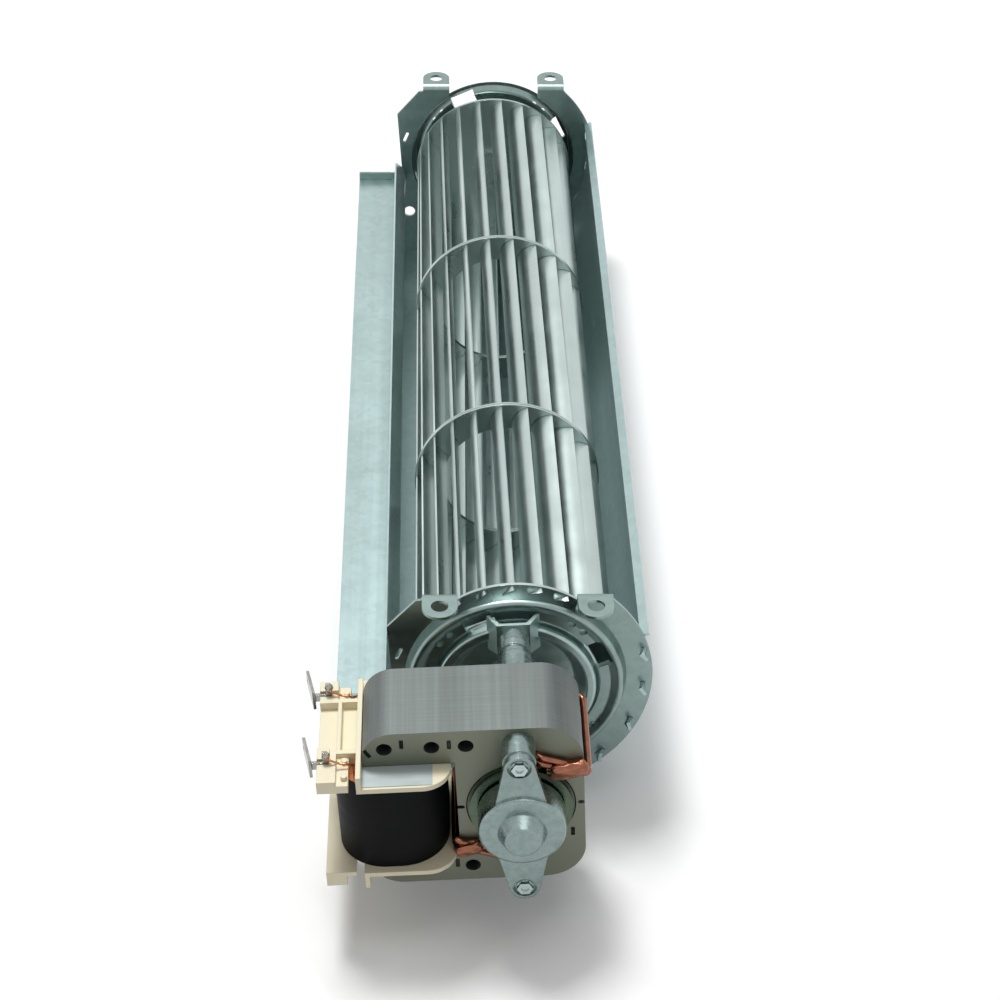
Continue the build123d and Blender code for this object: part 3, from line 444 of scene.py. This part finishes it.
middle_disc_seams = tuple(seam_place(name) for name in ("middle_disc_a", "middle_disc_b"))
finishes = {
    # These three finishes stand for one zinc-coated sheet: the end plates' darker colour and the
    # dish's middle tone are painted shade of their upright faces
    "galvanised_plate": galvanised(
        "galvanised_plate", (0.25, 0.33, 0.313, 1), roughness=0.31, stretch=ON_PLATE
    ),
    "galvanised_sheet": galvanised(
        "galvanised_sheet", (0.395, 0.515, 0.51, 1), roughness=0.33, stretch=ALONG_Y
    ),
    "galvanised_dish": galvanised(
        "galvanised_dish", (0.35, 0.455, 0.435, 1), roughness=0.31, stretch=ON_PLATE
    ),
    "rubber": plain_plastic(
        "rubber", (0.025, 0.025, 0.025, 1), roughness=0.7, scale=90.0, tone=0.2
    ),
    "sintered_bronze": plain_metal(
        "sintered_bronze", (0.45, 0.30, 0.15, 1), roughness=0.5, scale=900.0, tone=0.3, bump=0.4
    ),
    "lamination_steel": laminations(
        "lamination_steel", (0.185, 0.198, 0.155, 1), (0.135, 0.152, 0.148, 1)
    ),
    "cream_plastic": plain_plastic(
        "cream_plastic", (0.80, 0.74, 0.55, 1), roughness=0.42, scale=120.0, tone=0.03,
        edge_round=MOULDED_EDGE, Subsurface_Weight=0.12, Subsurface_Scale=0.002,
    ),
    "enamelled_copper": plain_metal(
        "enamelled_copper", (0.50, 0.19, 0.08, 1), roughness=0.25, scale=400.0, tone=0.2,
        stretch=(60.0, 60.0, 2400.0), bump=0.5,
    ),
    "black_tape": taped_coil("black_tape"),
    "label_foil": plain_metal(
        "label_foil", (0.42, 0.48, 0.48, 1), roughness=0.42, scale=200.0, tone=0.04,
        metallic=0.25, stretch=(60.0, 1500.0, 60.0),
    ),
    "tinned_brass": plain_metal(
        "tinned_brass", (0.34, 0.34, 0.32, 1), roughness=0.22, scale=300.0, tone=0.2,
        edge_round=SHEET_EDGE,
    ),
    "bare_copper": plain_metal(
        "bare_copper", (0.25, 0.10, 0.062, 1), roughness=0.2, scale=340.0, tone=0.35,
        stretch=(300.0, 40.0, 300.0),
    ),
    "zinc_casting": plain_metal(
        "zinc_casting", (0.235, 0.30, 0.29, 1), roughness=0.27, scale=480.0, tone=0.34,
        bump=0.5, edge_round=CAST_EDGE,
    ),
    "plated_screw": plain_metal(
        "plated_screw", (0.45, 0.54, 0.52, 1), roughness=0.24, scale=300.0, tone=0.15,
        edge_round=SHEET_EDGE,
    ),
    "ground_steel": plain_metal(
        "ground_steel", (0.5, 0.55, 0.54, 1), roughness=0.28, scale=200.0, tone=0.1,
        stretch=(500.0, 500.0, 30.0),
    ),
    "varnished_steel": plain_metal(
        "varnished_steel", (0.03, 0.055, 0.03, 1), roughness=0.22, scale=160.0, tone=0.5,
        metallic=0.5, Coat_Weight=0.8, Coat_Roughness=0.1,
    ),
    "cast_aluminium": plain_metal(
        "cast_aluminium", (0.05, 0.08, 0.045, 1), roughness=0.25, scale=300.0, tone=0.6,
        bump=0.4, Coat_Weight=0.8, Coat_Roughness=0.12,
    ),
    "spacer_plastic": plain_plastic(
        "spacer_plastic", (0.75, 0.72, 0.65, 1), roughness=0.5, scale=120.0, tone=0.04
    ),
    "turned_aluminium": plain_metal(
        "turned_aluminium", (0.50, 0.57, 0.55, 1), roughness=0.3, scale=200.0, tone=0.1,
        stretch=(40.0, 1800.0, 40.0),
    ),
    "wheel_aluminium": disc_metal(
        "wheel_aluminium", (0.44, 0.52, 0.50, 1), roughness=0.30, seams=middle_disc_seams
    ),
    "blade_aluminium": plain_metal(
        "blade_aluminium", (0.50, 0.585, 0.565, 1), roughness=0.34, scale=60.0, tone=0.10,
        bump=0.05, stretch=ALONG_Y,
    ),
}


def dress_cad_nodes():
    """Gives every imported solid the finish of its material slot."""
    for part in record["subparts"]:
        solid = frame["nodes"][part["node"]]
        solid.data.materials.clear()
        solid.data.materials.append(finishes[part["material_slot"]])


dress_cad_nodes()


# Small details of the motor


def deselect_all():
    for shown in bpy.context.selected_objects:
        shown.select_set(False)


def apply_modifier(piece, name):
    with bpy.context.temp_override(object=piece, active_object=piece, selected_objects=[piece]):
        bpy.ops.object.modifier_apply(modifier=name)


def set_in_motor(piece, x, y, z, turn):
    """Puts a piece from the origin at a place in the motor's axes, then applies the place."""
    tilt = radians(MOTOR_TURN)
    spot = Vector((x * cos(tilt) - z * sin(tilt), y, z * cos(tilt) + x * sin(tilt) - AXIS_DEPTH))
    turned = Matrix.Rotation(-tilt - radians(turn), 4, "Y")
    piece.matrix_world = Matrix.Translation(spot) @ turned
    deselect_all()
    piece.select_set(True)
    bpy.context.view_layer.objects.active = piece
    bpy.ops.object.transform_apply(location=True, rotation=True, scale=True)


def belongs_to_housing(piece, slot, finish=None):
    """Rides a detail on the housing, in its slot's finish or in one of its own."""
    piece.data.materials.clear()
    piece.data.materials.append(finish or finishes[slot])
    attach(piece, "housing")


def start_block(name):
    """Adds a block at the origin and opens it in edit mode, selected all over."""
    deselect_all()
    bpy.ops.mesh.primitive_cube_add(size=1.0, location=(0, 0, 0))
    piece = bpy.context.object
    piece.name = name
    bpy.ops.object.mode_set(mode="EDIT")
    bpy.ops.mesh.select_all(action="SELECT")
    return piece


def lump(name, size, roundness, unevenness, seed):
    """Soldered or crimped lump: a block rounded off, dented unevenly and smoothed."""
    piece = start_block(name)
    bpy.ops.mesh.subdivide(number_cuts=4)
    bpy.ops.transform.tosphere(value=roundness)
    bpy.ops.transform.resize(value=size)
    bpy.ops.transform.vertex_random(offset=unevenness, uniform=0.6, normal=0.4, seed=seed)
    bpy.ops.mesh.normals_make_consistent(inside=False)
    bpy.ops.object.mode_set(mode="OBJECT")
    smooth = piece.modifiers.new("smooth", "SUBSURF")
    smooth.levels = smooth.render_levels = 2
    apply_modifier(piece, "smooth")
    bpy.ops.object.shade_smooth()
    return piece


def select_front_face(piece):
    """In edit mode, selects only the face of a block that looks at the motor's front."""
    bpy.ops.mesh.select_mode(type="FACE")
    bpy.ops.mesh.select_all(action="DESELECT")
    bpy.ops.object.mode_set(mode="OBJECT")
    for face in piece.data.polygons:
        face.select = face.normal.y < -0.9
    bpy.ops.object.mode_set(mode="EDIT")


def punch_mark(name):
    """Rectangular mark that locks the sheets: a raised rim, and a floor sunk past its back."""
    piece = start_block(name)
    bpy.ops.transform.resize(value=(MARK_W, MARK_RISE, MARK_H))
    select_front_face(piece)
    bpy.ops.mesh.inset(thickness=MARK_RIM)
    bpy.ops.transform.translate(value=(0, MARK_SUNK, 0))
    bpy.ops.object.mode_set(mode="OBJECT")
    rounded = piece.modifiers.new("rounded", "BEVEL")
    rounded.width = MARK_ROUND
    rounded.segments = 2
    apply_modifier(piece, "rounded")
    return piece


def add_motor_details():
    """Crimped ends of the shading loops, solder on the tags, and punch marks on the stack."""
    face_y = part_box("stator_core")[0].y
    for name, x, z, size, turn, seed in CRIMPS:
        piece = lump(name, size, roundness=0.7, unevenness=0.00035, seed=seed)
        set_in_motor(piece, x, face_y - CRIMP_OUT, z, turn)
        belongs_to_housing(piece, "bare_copper")
    for name, terminal, seed in SOLDERS:
        low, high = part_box(terminal)
        piece = lump(name, SOLDER_SIZE, roundness=0.8, unevenness=0.0002, seed=seed)
        spot = (high.x - SOLDER_IN_X, low.y + SOLDER_IN_Y, high.z - SOLDER_IN_Z)
        piece.data.transform(Matrix.Translation(spot))
        belongs_to_housing(piece, "tinned_brass")
    # The marks take a near-black steel of their own, darker than the stack around them: painted
    # shade of their sunk floors
    painted_shade_steel = plain_metal(
        "painted_shade_steel", (0.05, 0.055, 0.045, 1), roughness=0.5, scale=900.0, tone=0.5,
        edge_round=SHEET_EDGE,
    )
    for number, (x, z, turn) in enumerate(PUNCH_MARKS, start=1):
        piece = punch_mark(f"punch_mark_{number}")
        set_in_motor(piece, x, face_y - MARK_RISE / 2, z, turn)
        belongs_to_housing(piece, "lamination_steel", painted_shade_steel)


add_motor_details()


# Floor, lamps, camera

centre = (cad_box[0] + cad_box[1]) / 2


def show_background(tree, output, lighting, seen):
    """One shader lights the scene; the camera, mirrors and clear pieces see the other one."""
    rays = node(tree, "ShaderNodeLightPath").outputs
    mirrored = math_node(tree, "MAXIMUM", rays["Is Glossy Ray"], rays["Is Transmission Ray"])
    choose = node(tree, "ShaderNodeMixShader")
    fac = math_node(tree, "MAXIMUM", rays["Is Camera Ray"], mirrored)
    for socket, value in zip(choose.inputs, (fac, lighting, seen)):
        give(tree, socket, value)
    give(tree, tree.nodes[output].inputs["Surface"], choose.outputs[0])


def make_floor():
    """Pale floor that keeps the shadow near the fan and turns white away from it."""
    deselect_all()
    bpy.ops.mesh.primitive_plane_add(
        size=FLOOR_SIZE, location=(centre.x, centre.y, cad_box[0].z)
    )
    floor = bpy.context.object
    floor.name = "studio_floor"
    paper = bpy.data.materials.new("pale_floor")
    paper.use_nodes = True
    tree = paper.node_tree
    shader = tree.nodes["Principled BSDF"]
    set_inputs(tree, shader, Base_Color=FLOOR_COLOUR, Roughness=0.9, Specular_IOR_Level=0.1)
    away = node(tree, "ShaderNodeVectorMath", operation="LENGTH")
    give(tree, away.inputs[0], object_place(tree))
    whiter = node(tree, "ShaderNodeMapRange", interpolation_type="SMOOTHSTEP")
    set_inputs(tree, whiter, Value=away.outputs["Value"], **FLOOR_WHITENING)
    lift = node(tree, "ShaderNodeEmission")
    set_inputs(tree, lift, Strength=whiter.outputs["Result"])
    both = node(tree, "ShaderNodeAddShader")
    give(tree, both.inputs[0], shader.outputs[0])
    give(tree, both.inputs[1], lift.outputs[0])
    show_background(tree, "Material Output", shader.outputs[0], both.outputs[0])
    floor.data.materials.append(paper)


def make_world():
    """Plain room light on the fan, and white behind it."""
    world = bpy.data.worlds.new("studio_world")
    world.use_nodes = True
    bpy.context.scene.world = world
    tree = world.node_tree
    room = set_inputs(tree, tree.nodes["Background"], Color=WHITE, Strength=ROOM_LIGHT)
    white = set_inputs(tree, node(tree, "ShaderNodeBackground"), Color=WHITE, Strength=1.0)
    show_background(tree, "World Output", room.outputs[0], white.outputs[0])


def softbox(name, place, side, watts):
    """Square area lamp aimed at the middle of the part."""
    lamp = bpy.data.lights.new(name, "AREA")
    lamp.shape = "RECTANGLE"
    lamp.size = lamp.size_y = side
    lamp.energy = watts
    holder = bpy.data.objects.new(name, lamp)
    holder.location = place
    holder.rotation_euler = (centre - Vector(place)).to_track_quat("-Z", "Y").to_euler()
    bpy.context.scene.collection.objects.link(holder)


def make_camera():
    """Camera at the photograph's place and heading, with its small roll."""
    heading, pitch, roll = CAMERA_HEADING, CAMERA_PITCH, CAMERA_ROLL
    forward = Vector((sin(heading) * cos(pitch), cos(heading) * cos(pitch), -sin(pitch)))
    level_right = Vector((cos(heading), -sin(heading), 0))
    level_up = level_right.cross(forward)
    right = cos(roll) * level_right + sin(roll) * level_up
    up = -sin(roll) * level_right + cos(roll) * level_up
    camera = bpy.data.cameras.new("photo_camera")
    camera.lens = CAMERA_LENS
    camera.sensor_width = CAMERA_SENSOR
    camera.clip_start = CAMERA_NEAR
    holder = bpy.data.objects.new("photo_camera", camera)
    turned = Matrix((right, up, -forward)).transposed().to_4x4()
    holder.matrix_world = Matrix.Translation(CAMERA_PLACE) @ turned
    bpy.context.scene.collection.objects.link(holder)
    bpy.context.scene.camera = holder


make_floor()
make_world()
for name, place, side, watts in LAMPS:
    softbox(name, place, side, watts)
make_camera()
bpy.context.scene.view_settings.view_transform = "Standard"
